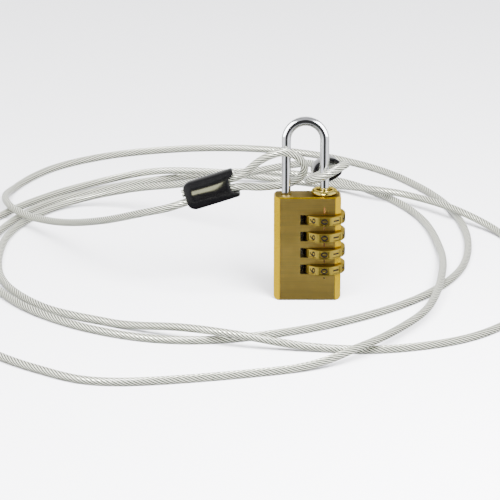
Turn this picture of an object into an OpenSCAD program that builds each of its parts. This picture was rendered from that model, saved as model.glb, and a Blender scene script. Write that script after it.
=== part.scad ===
// Four-dial brass padlock with a plastic-coated steel security cable threaded on its shackle.
// Millimetres. The origin is at the middle of the body's base, +Z is up and the dials face -Y.

/* [Body] */
// Width of the body
body_w = 24; // [23.5:0.5:30]
// Thickness of the body, front to back
body_d = 9.4; // [9.2:0.1:13]
// Height of the body
body_h = 38.5; // [37.5:0.5:46]
// Chamfer on the four upright corners
corner_cut = 2.1; // [1:0.1:2.5]
// Rounding of the top corners, seen from the front
top_round = 1; // [0.5:0.1:1.5]
// Rounding of the bottom corners, seen from the front
base_round = 1.4; // [0.5:0.1:2]
// Rounding of the top and bottom edges, seen from the side
edge_round = 0.8; // [0.3:0.1:1.2]

/* [Shackle] */
// Thickness of the shackle rod
rod_d = 3.3; // [3:0.1:3.6]
// Distance between the two legs, centre to centre
leg_span = 13.6; // [12.5:0.1:15]
// Height of the bow's outer top above the body
shackle_rise = 28.5; // [24:0.5:40]
// Distance of the heel leg from the body's middle
heel_x = 6; // [5.8:0.05:6.6]
// Radial clearance of the toe in its hole
toe_clear = 0.25; // [0.1:0.05:0.4]
// Taper at the tip of the toe
toe_taper = 0.6; // [0.2:0.1:1]

/* [Collar] */
// Outer diameter of the collar round the heel leg
collar_d = 9.3; // [8.8:0.1:9.4]
// Height of the collar above the body
collar_h = 1.9; // [1.4:0.1:2.6]
// Diameter of the collar's opening
collar_bore = 5.6; // [5.4:0.1:6]
// Rounding of the collar's inner top edge
collar_lip = 0.5; // [0.2:0.1:0.7]
// Diameter of the shank that is pressed into the body
collar_shank_d = 7; // [6.8:0.1:7.4]
// Depth of the shank in the body
collar_shank_h = 2; // [1.2:0.1:2.4]

/* [Dials] */
// Diameter of a dial over its ridges
dial_d = 15.2; // [14.4:0.1:16]
// Height of a dial
dial_h = 3.4; // [3.2:0.1:3.6]
// Distance from one dial to the next
dial_pitch = 6.15; // [6.05:0.05:6.3]
// Distance from the body's top down to the first dial's middle
first_dial = 8.3; // [8.1:0.1:8.6]
// Gap above and below a dial in its window
dial_gap = 0.1; // [0.05:0.05:0.15]
// Width of a numbered panel
panel_w = 3.5; // [3:0.1:3.9]
// Depth of a panel below the ridges
panel_sink = 0.45; // [0.2:0.05:0.6]
// Rounding of a dial's rims
rim_round = 0.35; // [0.2:0.05:0.4]
// Height of the rims above and below the panels
rim_h = 0.5; // [0.4:0.05:0.7]
// Gap between the dial and the closed end of its window
window_gap = 0.95; // [0.85:0.05:1.4]

/* [Code hubs] */
// Outer diameter of a hub
hub_d = 7.2; // [7:0.1:7.4]
// Radial running clearance of hubs, dials and the heel leg
run_clear = 0.06; // [0.03:0.01:0.1]
// Height of the gate section that the teeth pass
gate_h = 3.4; // [3.2:0.1:3.5]
// Distance that a hub reaches below its dial's middle
hub_drop = 1.8; // [1.75:0.05:2]
// Reach of the teeth from the leg's axis
tooth_reach = 2.5; // [2.2:0.05:2.55]
// Height of a tooth
tooth_h = 1.1; // [0.9:0.1:1.2]
// Width of a tooth
tooth_w = 1.2; // [1:0.1:1.4]
// Clearance round a tooth in its gate, and above it when locked
tooth_gap = 0.2; // [0.1:0.05:0.25]
// Reach of a hub's lug past its wall
lug_reach = 0.7; // [0.5:0.05:0.8]
// Width of a lug
lug_w = 1.4; // [1:0.1:1.6]
// Height of a lug
lug_h = 1.4; // [1:0.1:1.5]

/* [Bottom parts] */
// Thickness of the bottom plug
plug_h = 1.4; // [1:0.1:1.8]
// Thickness of the thrust washer
washer_h = 0.6; // [0.4:0.1:0.8]
// Thickness of the retaining ring on the heel leg
ring_h = 0.6; // [0.4:0.1:0.7]
// Wire of the hub spring
hub_spring_wire = 0.6; // [0.4:0.05:0.7]
// Wire of the lift spring
lift_spring_wire = 0.45; // [0.3:0.05:0.5]

/* [Click plate] */
// Thickness of the click plate
click_t = 0.25; // [0.15:0.05:0.3]
// Width of the click plate
click_w = 5.6; // [5.2:0.1:6]
// Width of a click rib
click_rib = 0.7; // [0.4:0.1:0.9]

/* [Cable] */
// Diameter of the cable over its plastic coat
cable_d = 2.8; // [2.4:0.1:3]
// Distance between the two strands in a ferrule
strand_gap = 3.3; // [3.2:0.1:3.6]
// Length of a crimp ferrule
ferrule_l = 11; // [9:0.5:12]
// Wall of a crimp ferrule
ferrule_wall = 0.7; // [0.5:0.1:0.8]
// Length of a moulded sleeve
sleeve_l = 19; // [18:0.5:22]
// Width of a moulded sleeve
sleeve_w = 10.6; // [10.2:0.1:12]
// Thickness of a moulded sleeve
sleeve_t = 8.8; // [8:0.1:10]
// Depth of the notch between the sleeve's lips
mouth_depth = 2.4; // [1:0.1:3]
// Width of each of the sleeve's two lips
lip_w = 1.5; // [1.2:0.1:2]
// Rounding of the lips
lip_round = 0.9; // [0.4:0.1:1.2]
// Width of a sleeve's tail end
tail_w = 7.4; // [7:0.1:8.4]
// Thickness of a sleeve's tail end
tail_t = 4.6; // [4.3:0.1:6]
// Length over which a sleeve's tail narrows
tail_l = 3.4; // [2.6:0.1:4]

/* [Hidden] */
$fn = 64;
eps = 0.01;
// Overshoot of a cutting shape past the face that it cuts
over = 1;
far = 60;
digits = 10;
dial_count = 4;
seat_gap = 0.05;
fit = 0.02;
brass = [0.66, 0.54, 0.24];
bright_brass = [0.83, 0.7, 0.35];
steel = [0.8, 0.81, 0.83];
spring_steel = [0.6, 0.62, 0.65];
rope_grey = [0.8, 0.81, 0.78];
black = [0.07, 0.07, 0.08];

// Shackle places
rod_r = rod_d / 2;
toe_x = heel_x - leg_span;
bow_r = leg_span / 2;
bow_x = (heel_x + toe_x) / 2;
bow_z = body_h + shackle_rise - rod_r - bow_r;

// Dial, window and hub places
dial_r = dial_d / 2;
window_h = dial_h + 2 * dial_gap;
window_x = heel_x - dial_r - window_gap;
hub_r = hub_d / 2;
hub_bore_r = hub_r + run_clear;
hub_len = dial_pitch - seat_gap;
recess_h = hub_len - gate_h;
recess_clear = 0.15;
recess_r = tooth_reach + recess_clear;
gate_r = rod_r + run_clear;
lug_clear = 0.1;
notch_w = lug_w + 2 * lug_clear;
notch_r = hub_r + lug_reach + lug_clear;
lug_z = 0.2;
function dial_z(i) = body_h - first_dial - (i - 1) * dial_pitch;
function hub_z(i) = dial_z(i) - hub_drop;
stack_low = hub_z(dial_count);
stack_top = hub_z(1) + dial_pitch;

// Click plate: its reach past the dials, and its ribs either side of a dial's ridge
click_over = 1.5;
click_low = dial_z(dial_count) - dial_h / 2 - click_over;
click_h = (dial_count - 1) * dial_pitch + dial_h + 2 * click_over;
rib_h = 2.4;
rib_gap = 0.08;
rib_y = dial_r * sin(180 / digits);
rib_tip = heel_x - sqrt(pow(dial_r + rib_gap, 2) - pow(rib_y - click_rib / 2, 2));

// Travel of the shackle: the teeth pass their gates and come free above them
lift_spare = 0.1;
lift = gate_h + tooth_h + 2 * tooth_gap + lift_spare;
toe_free = 0.4;
toe_depth = lift - toe_free;
toe_under = 0.6;
toe_hole_depth = toe_depth + toe_under;
tooth_low = recess_h - tooth_gap - tooth_h;
stop_gap = 0.1;
ring_z = stack_low + recess_h - stop_gap - lift - ring_h;
groove_r = 1.15;
ring_r = tooth_reach;
heel_tip = 1;
heel_end = ring_z - heel_tip;
ring_mouth = 1.7;
washer_z = stack_low - seat_gap - washer_h;
spring_foot = plug_h + seat_gap;
spring_clear = 0.2;
plug_sink = 0.1;

// Sleeve and eye places
cable_r = cable_d / 2;
strand = strand_gap / 2;
ferrule_r = cable_r + ferrule_wall;
pocket_gap = 0.1;
ferrule_shift = 0.5;
back_face = -ferrule_l / 2 - ferrule_shift;
front_face = back_face + ferrule_l;
stub_out = 0.8;
stub_end = -sleeve_l / 2 - stub_out;
mouth_x = sleeve_l / 2 - mouth_depth;
left_at = [-34.4, 0, 40.1];
left_turn = [0, -18, 0];
right_at = [7.3, 29.2, 39.4];
right_turn = [-65, -11, -87];

// Route of the free cable between the two sleeves, on its centre line
ROUTE = [[-50, 0.8, 33], [-60, 9, 28.5], [-75, 33, 18.5], [-90, 60, 9.5],
    [-103, 80, 5.2], [-112, 93, 4.8], [-117, 111, 4.2], [-115, 134, 1.4], [-102, 162, 1.4],
    [-81, 181, 1.4], [-56, 191, 1.4], [-30, 194, 1.4], [-5, 189, 1.4], [17, 176, 1.4],
    [38, 153, 1.4], [55, 117, 1.4], [62, 78, 1.4], [60, 40, 1.4], [51, 12, 1.4], [35, -12, 1.4],
    [11, -33, 1.4], [-14, -46, 1.4], [-38, -52, 1.4], [-61, -48, 1.4], [-85, -33, 1.4],
    [-105, -9, 1.4], [-118, 24, 1.4], [-118, 68, 1.4], [-103, 109, 1.4], [-79, 132, 1.4],
    [-54, 148, 1.4], [-20, 158, 1.4], [9, 149, 1.4], [31, 126, 1.4], [46, 92, 1.4],
    [51, 48, 2.2], [49, 9, 4.8], [43, -22, 4], [33, -44, 4], [17, -68, 4.7], [-8, -82, 1.4],
    [-64, -94, 1.4], [-92, -81, 1.4], [-117, -52, 1.4], [-132, -8, 1.4], [-132, 42, 1.4],
    [-121, 88, 1.4], [-102, 121, 1.4], [-81, 139, 2.6], [-60, 146, 4.8], [-38, 146, 4.8],
    [-14, 146, 2.2], [8, 139, 1.6], [28, 121, 4.7], [43, 112, 4.6], [60, 92, 4.7], [76, 70, 1.6],
    [86, 30, 1.4], [80, -14, 1.4], [58, -47, 1.4], [28, -61, 1.4], [0, -60, 1.8], [-25, -56, 4.8],
    [-44, -47, 4.3], [-68, -34, 1.4], [-94, -16, 1.4], [-111, 16, 1.4], [-114, 60, 1.4],
    [-106, 92, 1.4], [-90, 111, 2.8], [-68, 108, 8.5], [-46, 92, 15.5], [-24, 76, 24],
    [-8, 64, 30.5], [1, 54, 34.5], [5, 45, 35.8]];
// Centre lines of the two eyes, from one strand round the leg to the other
EYE_LEFT = [[-23, -0.6, 46], [-18, -1.9, 50.6], [-13.2, -3, 53.6], [-8.5, -3.25, 54.8],
    [-4.4, -2.6, 53.4], [-1.7, -1, 50.4], [-1.2, 0.8, 47], [-3.1, 2.4, 43.6], [-7, 3.25, 41.3],
    [-12, 3, 40.6], [-17.5, 1.6, 40.6], [-22.5, 0.4, 41.2]];
EYE_RIGHT = [[10.4, 17, 43.1], [12.5, 11.5, 45.5], [13.8, 6, 47.7], [13.2, 1, 48.9],
    [10.6, -2.3, 48.3], [7.2, -3.6, 46.8], [3.8, -3, 45], [1.1, -0.4, 43.5], [0.1, 4.2, 42.2],
    [0.9, 9.8, 41.1], [2.7, 13.3, 40.9], [5.3, 17.9, 40.8]];
cord_sides = 8;
spring_turns = 5;
coil_steps = 8;
wire_sides = 6;
eye_rings = 36;
eye_sides = 10;
// Rounding of a sleeve's tail end, and the flat left beside its shoulders
tail_round = 0.8;
tail_flat = 0.4;

// ---------- general shapes ----------

// Rectangle standing on the X axis, with its bottom and top corners rounded by different radii
module standing_panel(w, h, r_low, r_high) {
    translate([-w / 2, r_low]) square([w, h - r_low - r_high]);
    translate([r_low - w / 2, 0]) square([w - 2 * r_low, r_low + eps]);
    translate([r_high - w / 2, h - r_high - eps]) square([w - 2 * r_high, r_high + eps]);
    for (s = [-1, 1]) {
        translate([s * (w / 2 - r_low), r_low]) circle(r_low);
        translate([s * (w / 2 - r_high), h - r_high]) circle(r_high);
    }
}

// Bar along X with round edges: two rods and the flat between them
module oval_bar(l, r, half_gap) {
    translate([-l / 2, 0, 0]) rotate([90, 0, 90]) linear_extrude(l) {
        square([2 * r, 2 * half_gap], center = true);
        for (s = [-1, 1]) translate([0, s * half_gap]) circle(r);
    }
}

module tube_ring(r_out, r_in, h) {
    difference() {
        cylinder(r = r_out, h = h);
        translate([0, 0, -over]) cylinder(r = r_in, h = h + 2 * over);
    }
}

function unit(v) = v / norm(v);
function heading(p, i) = unit(p[min(i + 1, len(p) - 1)] - p[max(i - 1, 0)]);
// One point of a smooth curve through four neighbours
function smooth(a, b, c, d, t) = 0.5 * ((2 * b) + (c - a) * t + (2 * a - 5 * b + 4 * c - d) * t * t
    + (3 * b - a - 3 * c + d) * t * t * t);
function on_curve(p, s) = let (i = min(floor(s), len(p) - 2), t = s - i,
    before = i > 0 ? p[i - 1] : 2 * p[0] - p[1],
    after = i + 2 < len(p) ? p[i + 2] : 2 * p[i + 1] - p[i])
    smooth(before, p[i], p[i + 1], after, t);
function curve(p, n) = [for (k = [0 : n - 1]) on_curve(p, k * (len(p) - 1) / (n - 1))];

// Closed tube along a path; up is a direction that the path never points in
module tube(path, r, sides, up) {
    n = len(path);
    rings = [for (i = [0 : n - 1]) let (t = heading(path, i), u = unit(cross(t, up)), v = cross(u, t))
        for (k = [0 : sides - 1]) path[i] + r * (cos(360 * k / sides) * v + sin(360 * k / sides) * u)];
    skin = [for (i = [0 : n - 2]) for (k = [0 : sides - 1])
        let (a = i * sides + k, b = i * sides + (k + 1) % sides)
        each [[a, b + sides, b], [a, a + sides, b + sides]]];
    start = [for (k = [1 : sides - 2]) [0, k, k + 1]];
    finish = [for (k = [1 : sides - 2]) let (o = (n - 1) * sides) [o, o + k + 1, o + k]];
    polyhedron(points = rings, faces = concat(skin, start, finish));
}

// Round-wire compression spring standing on the XY plane
module coil_spring(r, wire, h, turns) {
    steps = turns * coil_steps;
    path = [for (k = [0 : steps]) let (a = 360 * k / coil_steps)
        [r * cos(a), r * sin(a), wire / 2 + (h - wire) * k / steps]];
    tube(path, wire / 2, wire_sides, [0, 0, 1]);
}

// ---------- padlock ----------

module body_block() {
    c = corner_cut;
    x = body_w / 2;
    y = body_d / 2;
    intersection() {
        linear_extrude(body_h) polygon([[c - x, -y], [x - c, -y], [x, c - y], [x, y - c],
            [x - c, y], [c - x, y], [-x, y - c], [-x, c - y]]);
        translate([0, y + over, 0]) rotate([90, 0, 0])
            linear_extrude(body_d + 2 * over) standing_panel(body_w, body_h, base_round, top_round);
        translate([-x - over, 0, 0]) rotate([90, 0, 90])
            linear_extrude(body_w + 2 * over) standing_panel(body_d, body_h, edge_round, edge_round);
    }
}

module body() {
    color(brass) difference() {
        body_block();
        // windows, open to the front, the back and the right side
        for (i = [1 : dial_count])
            translate([window_x, -far / 2, dial_z(i) - window_h / 2]) cube([far, far, window_h]);
        // bore for the hubs, from the base up to its shoulder, and the keyway for their lugs
        translate([heel_x, 0, -over]) cylinder(r = hub_bore_r, h = stack_top + over);
        translate([heel_x - notch_r, -notch_w / 2, plug_h]) cube([notch_r, notch_w, stack_top - plug_h]);
        // bore for the toothed leg, and the seat of the collar
        translate([heel_x, 0, stack_top - over]) cylinder(r = recess_r, h = body_h);
        translate([heel_x, 0, body_h - collar_shank_h - seat_gap])
            cylinder(d = collar_shank_d + 2 * fit, h = body_h);
        // hole for the toe
        translate([toe_x, 0, body_h - toe_hole_depth]) cylinder(r = rod_r + toe_clear, h = body_h);
        // groove for the click plate at the closed end of the windows
        translate([window_x - eps, -click_w / 2 - seat_gap, click_low - seat_gap])
            cube([click_t + 3 * seat_gap, click_w + 2 * seat_gap, click_h + 2 * seat_gap]);
    }
}

module shackle() {
    color(steel) difference() {
        union() {
            // heel leg, bow and toe leg
            translate([heel_x, 0, heel_end]) cylinder(r = rod_r, h = bow_z - heel_end);
            translate([bow_x, 0, bow_z]) rotate([90, 0, 0])
                rotate_extrude(angle = 180) translate([bow_r, 0]) circle(rod_r);
            translate([toe_x, 0, body_h - toe_depth + toe_taper])
                cylinder(r = rod_r, h = bow_z - body_h + toe_depth - toe_taper);
            translate([toe_x, 0, body_h - toe_depth])
                cylinder(r1 = rod_r - toe_taper, r2 = rod_r, h = toe_taper);
            // teeth, one for each hub
            for (i = [1 : dial_count]) translate([heel_x, 0, hub_z(i) + tooth_low]) tooth();
        }
        // groove for the retaining ring
        translate([heel_x, 0, ring_z - fit]) tube_ring(rod_d, groove_r, ring_h + 2 * fit);
    }
}

module tooth() {
    intersection() {
        cylinder(r = tooth_reach, h = tooth_h);
        translate([-far, -tooth_w / 2, 0]) cube([far, tooth_w, tooth_h]);
    }
}

module heel_collar() {
    side = collar_h / 2;
    lip_at = collar_bore / 2 + collar_lip;
    color(bright_brass) translate([heel_x, 0, body_h]) {
        rotate_extrude() {
            translate([lip_at, 0]) square([collar_d / 2 - side - lip_at, collar_h]);
            translate([collar_d / 2 - side, side]) circle(side);
            translate([lip_at, collar_h - collar_lip]) circle(collar_lip);
            translate([collar_bore / 2, 0]) square([collar_lip + eps, collar_h - collar_lip]);
        }
        translate([0, 0, -collar_shank_h]) tube_ring(collar_shank_d / 2, collar_bore / 2, collar_shank_h + eps);
    }
}

// Dial with a sunk, flat panel for each number, framed by the rims and the upright ridges
module dial(i) {
    r = dial_r;
    color(bright_brass) translate([heel_x, 0, dial_z(i) - dial_h / 2]) difference() {
        rotate_extrude() {
            square([r - rim_round, dial_h]);
            translate([0, rim_round]) square([r, dial_h - 2 * rim_round]);
            for (z = [rim_round, dial_h - rim_round]) translate([r - rim_round, z]) circle(rim_round);
        }
        for (k = [0 : digits - 1]) rotate(360 * k / digits - 90)
            translate([r - panel_sink, -panel_w / 2, rim_h]) cube([far, panel_w, dial_h - 2 * rim_h]);
        // bore, with a notch for the lug at each number and a relief below the notches
        translate([0, 0, -over]) cylinder(r = hub_r + run_clear, h = far);
        translate([0, 0, -over]) cylinder(r = notch_r, h = dial_h / 2 + over);
        for (k = [0 : digits - 1]) rotate(360 * k / digits + 180)
            translate([0, -notch_w / 2, 0]) cube([notch_r, notch_w, far]);
    }
}

// Code hub: a gate for the tooth above, a round recess for the locked tooth below
module hub(i) {
    color(steel) translate([heel_x, 0, hub_z(i)]) difference() {
        union() {
            cylinder(r = hub_r, h = hub_len);
            translate([0, 0, hub_drop + lug_z]) intersection() {
                cylinder(r = hub_r + lug_reach, h = lug_h);
                translate([-far, -lug_w / 2, 0]) cube([far, lug_w, lug_h]);
            }
        }
        translate([0, 0, -over]) cylinder(r = gate_r, h = far);
        translate([0, 0, -over]) cylinder(r = recess_r, h = recess_h + over);
        translate([-tooth_reach - tooth_gap / 2, -tooth_w / 2 - tooth_gap / 2, 0])
            cube([tooth_reach, tooth_w + tooth_gap, far]);
    }
}

// Flat spring with a pair of ribs at each dial
module click_plate() {
    back = window_x + seat_gap;
    color(spring_steel) {
        translate([back, -click_w / 2, click_low]) cube([click_t, click_w, click_h]);
        for (i = [1 : dial_count]) for (s = [-1, 1])
            translate([back, s * rib_y - click_rib / 2, dial_z(i) - rib_h / 2])
                cube([rib_tip - back, click_rib, rib_h]);
    }
}

module thrust_washer() {
    color(steel) translate([heel_x, 0, washer_z]) tube_ring(hub_r, recess_r, washer_h);
}

module retaining_ring() {
    color(spring_steel) translate([heel_x, 0, ring_z]) difference() {
        tube_ring(ring_r, groove_r + fit, ring_h);
        // the open side, by which it snaps on to the leg
        translate([0, -ring_mouth / 2, -over]) cube([far, ring_mouth, ring_h + 2 * over]);
    }
}

module lift_spring() {
    color(spring_steel) translate([heel_x, 0, spring_foot])
        coil_spring(rod_r + lift_spring_wire / 2 + spring_clear, lift_spring_wire,
            ring_z - seat_gap - spring_foot, spring_turns);
}

module hub_spring() {
    color(spring_steel) translate([heel_x, 0, spring_foot])
        coil_spring(hub_r - hub_spring_wire / 2 - seat_gap, hub_spring_wire,
            washer_z - seat_gap - spring_foot, spring_turns);
}

module bottom_plug() {
    color(brass) translate([heel_x, 0, plug_sink]) cylinder(r = hub_bore_r - fit / 2, h = plug_h - plug_sink);
}

// ---------- cable ----------

// World place of a point given along a sleeve's axis and across it, for its two turns about Y and Z
function turned(a, p) = let (
    r1 = [p[0], p[1] * cos(a[0]) - p[2] * sin(a[0]), p[1] * sin(a[0]) + p[2] * cos(a[0])],
    r2 = [r1[0] * cos(a[1]) + r1[2] * sin(a[1]), r1[1], r1[2] * cos(a[1]) - r1[0] * sin(a[1])])
    [r2[0] * cos(a[2]) - r2[1] * sin(a[2]), r2[0] * sin(a[2]) + r2[1] * cos(a[2]), r2[2]];
function left_point(x, side) = left_at + turned(left_turn, [x, 0, side * strand]);
function right_point(x, side) = right_at + turned(right_turn, [x, 0, side * strand]);

module cable() {
    color(rope_grey) tube(concat([left_point(back_face, -1), left_point(-sleeve_l / 2, -1)], ROUTE,
        [right_point(-sleeve_l / 2, -1), right_point(back_face, -1)]), cable_r, cord_sides, [0, 0, 1]);
}

// Eye: from the cut end through the ferrule, round the leg and back through the ferrule
module eye(points, at_stub, at_gate, at_return, at_back, up) {
    path = concat([at_gate], points, [at_return]);
    color(rope_grey) tube(concat([at_stub], curve(path, eye_rings), [at_back]), cable_r, eye_sides, up);
}

module eye_left() {
    eye(EYE_LEFT, left_point(stub_end, 1), left_point(mouth_x, 1), left_point(mouth_x, -1),
        left_point(back_face, -1), [0, 1, 0]);
}

module eye_right() {
    eye(EYE_RIGHT, right_point(stub_end, 1), right_point(mouth_x, 1), right_point(mouth_x, -1),
        right_point(back_face, -1), turned(right_turn, [0, 1, 0]));
}

module ferrule() {
    color(spring_steel) translate([(back_face + front_face) / 2, 0, 0]) difference() {
        oval_bar(ferrule_l, ferrule_r, strand);
        for (s = [-1, 1]) translate([-far, 0, s * strand]) rotate([0, 90, 0])
            cylinder(r = cable_r + fit, h = 2 * far);
    }
}

// Outline of a sleeve seen from one side: rounded shoulders, a narrow tail and rounded lips
module sleeve_outline(w_tail, w) {
    tail = -sleeve_l / 2;
    hull() for (s = [-1, 1]) {
        translate([tail + tail_round, s * (w_tail / 2 - tail_round)]) circle(tail_round, $fn = 24);
        translate([tail + tail_l, s * (w / 2 - tail_l + tail_flat)]) circle(tail_l - tail_flat, $fn = 32);
        translate([sleeve_l / 2 - lip_round, s * (w / 2 - lip_round)]) circle(lip_round, $fn = 24);
    }
}

// Outside of a sleeve, its two outlines crossed with a thick oval bar
module sleeve_skin() {
    intersection() {
        oval_bar(sleeve_l, sleeve_t / 2, (sleeve_w - sleeve_t) / 2);
        translate([0, far / 2, 0]) rotate([90, 0, 0]) linear_extrude(far) sleeve_outline(tail_w, sleeve_w);
        translate([0, 0, -far / 2]) linear_extrude(far) sleeve_outline(tail_t, sleeve_t);
    }
}

// Notch of the mouth, seen on the sleeve's wide face: flat in the middle, steep beside the two lips
module mouth_notch() {
    half = sleeve_w / 2 - lip_w;
    translate([0, far / 2, 0]) rotate([90, 0, 0]) linear_extrude(far)
        polygon(concat([for (t = [-1 : 0.1 : 1.01]) [mouth_x + mouth_depth * pow(t, 4), t * half]],
            [[far, half], [far, -half]]));
}

module sleeve() {
    color(black) difference() {
        sleeve_skin();
        mouth_notch();
        // pocket of the ferrule, open towards the mouth, and the two holes of the tail
        translate([back_face - pocket_gap + far / 2, 0, 0]) oval_bar(far, ferrule_r + pocket_gap, strand);
        for (s = [-1, 1]) translate([-far, 0, s * strand]) rotate([0, 90, 0])
            cylinder(r = cable_r + seat_gap, h = far);
    }
}

body();
shackle();
heel_collar();
dial(1);  // dial_1
dial(2);  // dial_2
dial(3);  // dial_3
dial(4);  // dial_4
hub(1);  // hub_1
hub(2);  // hub_2
hub(3);  // hub_3
hub(4);  // hub_4
click_plate();
thrust_washer();
retaining_ring();
lift_spring();
hub_spring();
bottom_plug();
cable();
eye_left();
eye_right();
translate(left_at) rotate(left_turn) ferrule();  // ferrule_left
translate(right_at) rotate(right_turn) ferrule();  // ferrule_right
translate(left_at) rotate(left_turn) sleeve();  // sleeve_left
translate(right_at) rotate(right_turn) sleeve();  // sleeve_right
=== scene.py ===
"""Dresses a four-dial brass padlock and the plastic-coated steel cable that hangs on its shackle."""

import math

import bpy
import numpy as np
from mathutils import Euler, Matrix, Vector


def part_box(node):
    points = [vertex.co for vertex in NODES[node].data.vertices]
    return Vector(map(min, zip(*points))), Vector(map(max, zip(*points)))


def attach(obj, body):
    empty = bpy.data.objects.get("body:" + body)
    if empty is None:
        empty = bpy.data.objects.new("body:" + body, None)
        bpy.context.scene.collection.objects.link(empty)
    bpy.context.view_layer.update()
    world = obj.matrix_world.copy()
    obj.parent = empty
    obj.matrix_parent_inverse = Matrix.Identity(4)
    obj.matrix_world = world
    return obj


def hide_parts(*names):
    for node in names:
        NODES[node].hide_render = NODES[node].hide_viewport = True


bl_info = {
    "name": "Cable Lock",
    "version": (1, 0, 0),
    "blender": (4, 5, 0),
    "location": "3D View > Sidebar > Cable Lock",
    "description": "Brass combination padlock with a coated steel cable, built round its CAD frame",
    "category": "Object",
}

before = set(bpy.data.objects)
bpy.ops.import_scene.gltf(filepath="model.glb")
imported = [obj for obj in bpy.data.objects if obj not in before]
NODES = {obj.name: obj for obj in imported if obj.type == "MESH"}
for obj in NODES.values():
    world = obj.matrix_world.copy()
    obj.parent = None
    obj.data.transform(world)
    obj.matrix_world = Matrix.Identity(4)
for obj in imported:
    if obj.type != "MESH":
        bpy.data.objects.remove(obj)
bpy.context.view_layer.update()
MM = 0.001
DIALS = 4
DIGITS = 10

# The cable's route on its centre line, in metres, from the left sleeve to the right one.
ROUTE = [
    (-0.050, 0.0008, 0.033), (-0.060, 0.009, 0.0285), (-0.075, 0.033, 0.0185), (-0.090, 0.060, 0.0095),
    (-0.103, 0.080, 0.0052), (-0.112, 0.093, 0.0048), (-0.117, 0.111, 0.0042), (-0.115, 0.134, 0.0014),
    (-0.102, 0.162, 0.0014), (-0.081, 0.181, 0.0014), (-0.056, 0.191, 0.0014), (-0.030, 0.194, 0.0014),
    (-0.005, 0.189, 0.0014), (0.017, 0.176, 0.0014), (0.038, 0.153, 0.0014), (0.055, 0.117, 0.0014),
    (0.062, 0.078, 0.0014), (0.060, 0.040, 0.0014), (0.051, 0.012, 0.0014), (0.035, -0.012, 0.0014),
    (0.011, -0.033, 0.0014), (-0.014, -0.046, 0.0014), (-0.038, -0.052, 0.0014), (-0.061, -0.048, 0.0014),
    (-0.085, -0.033, 0.0014), (-0.105, -0.009, 0.0014), (-0.118, 0.024, 0.0014), (-0.118, 0.068, 0.0014),
    (-0.103, 0.109, 0.0014), (-0.079, 0.132, 0.0014), (-0.054, 0.148, 0.0014), (-0.020, 0.158, 0.0014),
    (0.009, 0.149, 0.0014), (0.031, 0.126, 0.0014), (0.046, 0.092, 0.0014), (0.051, 0.048, 0.0022),
    (0.049, 0.009, 0.0048), (0.043, -0.022, 0.004), (0.033, -0.044, 0.004), (0.017, -0.068, 0.0047),
    (-0.008, -0.082, 0.0014), (-0.064, -0.094, 0.0014), (-0.092, -0.081, 0.0014), (-0.117, -0.052, 0.0014),
    (-0.132, -0.008, 0.0014), (-0.132, 0.042, 0.0014), (-0.121, 0.088, 0.0014), (-0.102, 0.121, 0.0014),
    (-0.081, 0.139, 0.0026), (-0.060, 0.146, 0.0048), (-0.038, 0.146, 0.0048), (-0.014, 0.146, 0.0022),
    (0.008, 0.139, 0.0016), (0.028, 0.121, 0.0047), (0.043, 0.112, 0.0046), (0.060, 0.092, 0.0047),
    (0.076, 0.070, 0.0016), (0.086, 0.030, 0.0014), (0.080, -0.014, 0.0014), (0.058, -0.047, 0.0014),
    (0.028, -0.061, 0.0014), (0.000, -0.060, 0.0018), (-0.025, -0.056, 0.0048), (-0.044, -0.047, 0.0043),
    (-0.068, -0.034, 0.0014), (-0.094, -0.016, 0.0014), (-0.111, 0.016, 0.0014), (-0.114, 0.060, 0.0014),
    (-0.106, 0.092, 0.0014), (-0.090, 0.111, 0.0028), (-0.068, 0.108, 0.0085), (-0.046, 0.092, 0.0155),
    (-0.024, 0.076, 0.024), (-0.008, 0.064, 0.0305), (0.001, 0.054, 0.0345), (0.005, 0.045, 0.0358),
]
# The eyes' centre lines, each from the cut end's strand round the shackle's leg to the standing strand.
EYE_LEFT = [
    (-0.023, -0.0006, 0.046), (-0.018, -0.0019, 0.0506), (-0.0132, -0.003, 0.0536),
    (-0.0085, -0.00325, 0.0548), (-0.0044, -0.0026, 0.0534), (-0.0017, -0.001, 0.0504),
    (-0.0012, 0.0008, 0.047), (-0.0031, 0.0024, 0.0436), (-0.007, 0.00325, 0.0413),
    (-0.012, 0.003, 0.0406), (-0.0175, 0.0016, 0.0406), (-0.0225, 0.0004, 0.0412),
]
EYE_RIGHT = [
    (0.0104, 0.017, 0.0431), (0.0125, 0.0115, 0.0455), (0.0138, 0.006, 0.0477),
    (0.0132, 0.001, 0.0489), (0.0106, -0.0023, 0.0483), (0.0072, -0.0036, 0.0468),
    (0.0038, -0.003, 0.045), (0.0011, -0.0004, 0.0435), (0.0001, 0.0042, 0.0422),
    (0.0009, 0.0098, 0.0411), (0.0027, 0.0133, 0.0409), (0.0053, 0.0179, 0.0408),
]
# How finely the cable is drawn: length of a piece, points between two of the route, and bevel resolution.
CABLE_STEP = 0.0015
ROUTE_FINENESS = 60
CABLE_BEVEL = 6

# Where the sleeves sit: the middle of each, and how it is turned, in degrees.
SLEEVES = {
    "left": ((-0.0344, 0.0, 0.0401), (0, -18, 0)),
    "right": ((0.0073, 0.0292, 0.0394), (-65, -11, -87)),
}
# Along a sleeve from its middle: how far off its tail is, the ferrule's ends, the cut end and the mouth.
SLEEVE_HALF = 0.0095
FERRULE_BACK = -0.006
FERRULE_FRONT = 0.005
CUT_END = -0.0103
MOUTH = 0.0071
# How far each of the two strands runs beside the sleeve's axis.
STRAND_SIDE = 0.00165
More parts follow.
